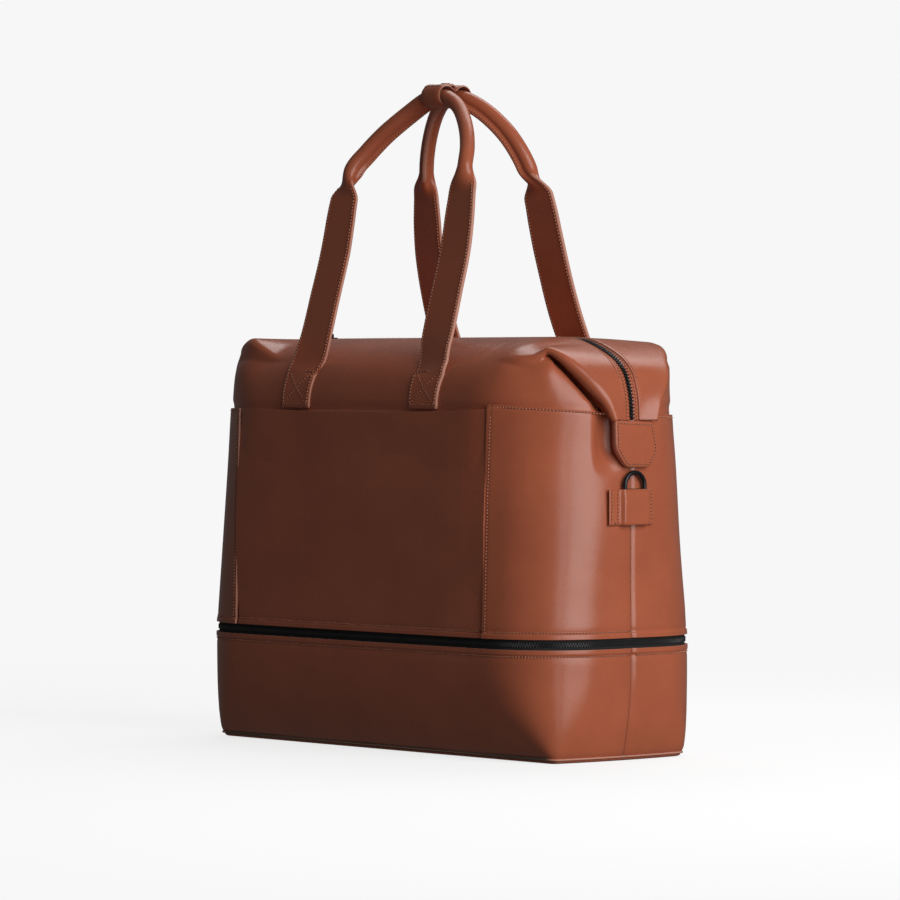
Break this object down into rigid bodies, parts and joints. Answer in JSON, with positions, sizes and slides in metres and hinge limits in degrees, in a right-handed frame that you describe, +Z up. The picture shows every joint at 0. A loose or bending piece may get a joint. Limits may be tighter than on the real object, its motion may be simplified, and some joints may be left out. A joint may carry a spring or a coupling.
{
  "type": "duffel bag",
  "caption": "Structured leather weekender duffel with a full top zip, paired rolled carry handles, a front slip pocket and a zip-round shoe compartment in the base.",
  "frame": {"origin": "on the floor, under the middle of the base", "axes": "+X along the bag's length, -Y the side with the slip pocket, +Z up"},
  "size_m": [0.471, 0.204, 0.5529],
  "materials": {
    "cognac_leather": "smooth full-grain leather with a soft satin sheen",
    "edge_paint": "painted leather edge",
    "lining_cloth": "plain woven lining",
    "fibreboard": "pressed fibre stiffener board",
    "zip_tape": "black woven zip tape",
    "zip_coil": "black nylon coil",
    "black_metal": "black coated metal, satin"
  },
  "bodies": {
    "tray": {"base_panel": "cognac_leather", "base_board": "fibreboard", "base_welt": "edge_paint", "tray_wall_front": "cognac_leather", "tray_wall_back": "cognac_leather", "tray_lining": "lining_cloth", "tray_floor_lining": "lining_cloth", "bottom_zip_tape_lower": "zip_tape", "bottom_zip_coil_lower": "zip_coil", "hinge_gusset": "cognac_leather"},
    "main_body": {"front_pocket_panel": "cognac_leather", "front_panel": "cognac_leather", "side_panel_front_right": "cognac_leather", "side_panel_front_left": "cognac_leather", "side_panel_back_right": "cognac_leather", "side_panel_back_left": "cognac_leather", "back_panel": "cognac_leather", "top_panel_front": "cognac_leather", "top_panel_back": "cognac_leather", "zip_placket_front": "cognac_leather", "zip_placket_back": "cognac_leather", "main_zip_tape_front": "zip_tape", "main_zip_tape_back": "zip_tape", "main_zip_coil_front": "zip_coil", "main_zip_coil_back": "zip_coil", "bottom_zip_tape_upper": "zip_tape", "bottom_zip_coil_upper": "zip_coil", "divider_board": "fibreboard", "main_lining_front": "lining_cloth", "main_lining_back": "lining_cloth", "handle_anchor_front_right": "cognac_leather", "handle_anchor_front_left": "cognac_leather", "handle_anchor_back_right": "cognac_leather", "handle_anchor_back_left": "cognac_leather", "handle_backing_patches": "fibreboard", "end_tab_right": "cognac_leather", "end_tab_left": "cognac_leather", "ring_patch_right": "cognac_leather", "ring_patch_left": "cognac_leather"},
    "main_slider": {"main_zip_slider": "black_metal"},
    "main_pull": {"main_zip_pull": "black_metal"},
    "bottom_slider": {"bottom_zip_slider": "black_metal"},
    "bottom_pull": {"bottom_zip_pull": "black_metal"},
    "front_carry_handle": {"front_handle": "cognac_leather", "keeper_front": "cognac_leather", "snap_cap": "black_metal"},
    "back_carry_handle": {"back_handle": "cognac_leather", "keeper_back": "cognac_leather"},
    "right_ring": {"d_ring_right": "black_metal"},
    "left_ring": {"d_ring_left": "black_metal"}
  },
  "joints": [
    {"name": "shoe_compartment_hinge", "type": "hinge", "parent": "tray", "child": "main_body", "pos_m": [0, 0.097, 0.095], "axis": [-1, 0, 0], "range_deg": [0, 110], "deforming": ["hinge_gusset"]},
    {"name": "main_zip_slide", "type": "slide", "parent": "main_body", "child": "main_slider", "axis": [1, 0, 0], "range_m": [0, 0.308]},
    {"name": "main_pull_flip", "type": "hinge", "parent": "main_slider", "child": "main_pull", "pos_m": [-0.154, 0, 0.3434], "axis": [0, 1, 0], "range_deg": [0, 170]},
    {"name": "bottom_zip_slide", "type": "slide", "parent": "tray", "child": "bottom_slider", "axis": [0, -1, 0], "range_m": [0, 0.06]},
    {"name": "bottom_pull_swing", "type": "hinge", "parent": "bottom_slider", "child": "bottom_pull", "pos_m": [-0.233, 0.03, 0.095], "axis": [0, 1, 0], "range_deg": [0, 120]},
    {"name": "front_handle_fold", "type": "hinge", "parent": "main_body", "child": "front_carry_handle", "pos_m": [0, -0.0876, 0.316], "axis": [1, 0, 0], "range_deg": [0, 135]},
    {"name": "back_handle_fold", "type": "hinge", "parent": "main_body", "child": "back_carry_handle", "pos_m": [0, 0.0876, 0.316], "axis": [-1, 0, 0], "range_deg": [0, 135]},
    {"name": "right_ring_swing", "type": "hinge", "parent": "main_body", "child": "right_ring", "pos_m": [0.2322, 0, 0.217], "axis": [0, 1, 0], "range_deg": [0, 45]},
    {"name": "left_ring_swing", "type": "hinge", "parent": "main_body", "child": "left_ring", "pos_m": [-0.2322, 0, 0.217], "axis": [0, -1, 0], "range_deg": [0, 45]}
  ]
}
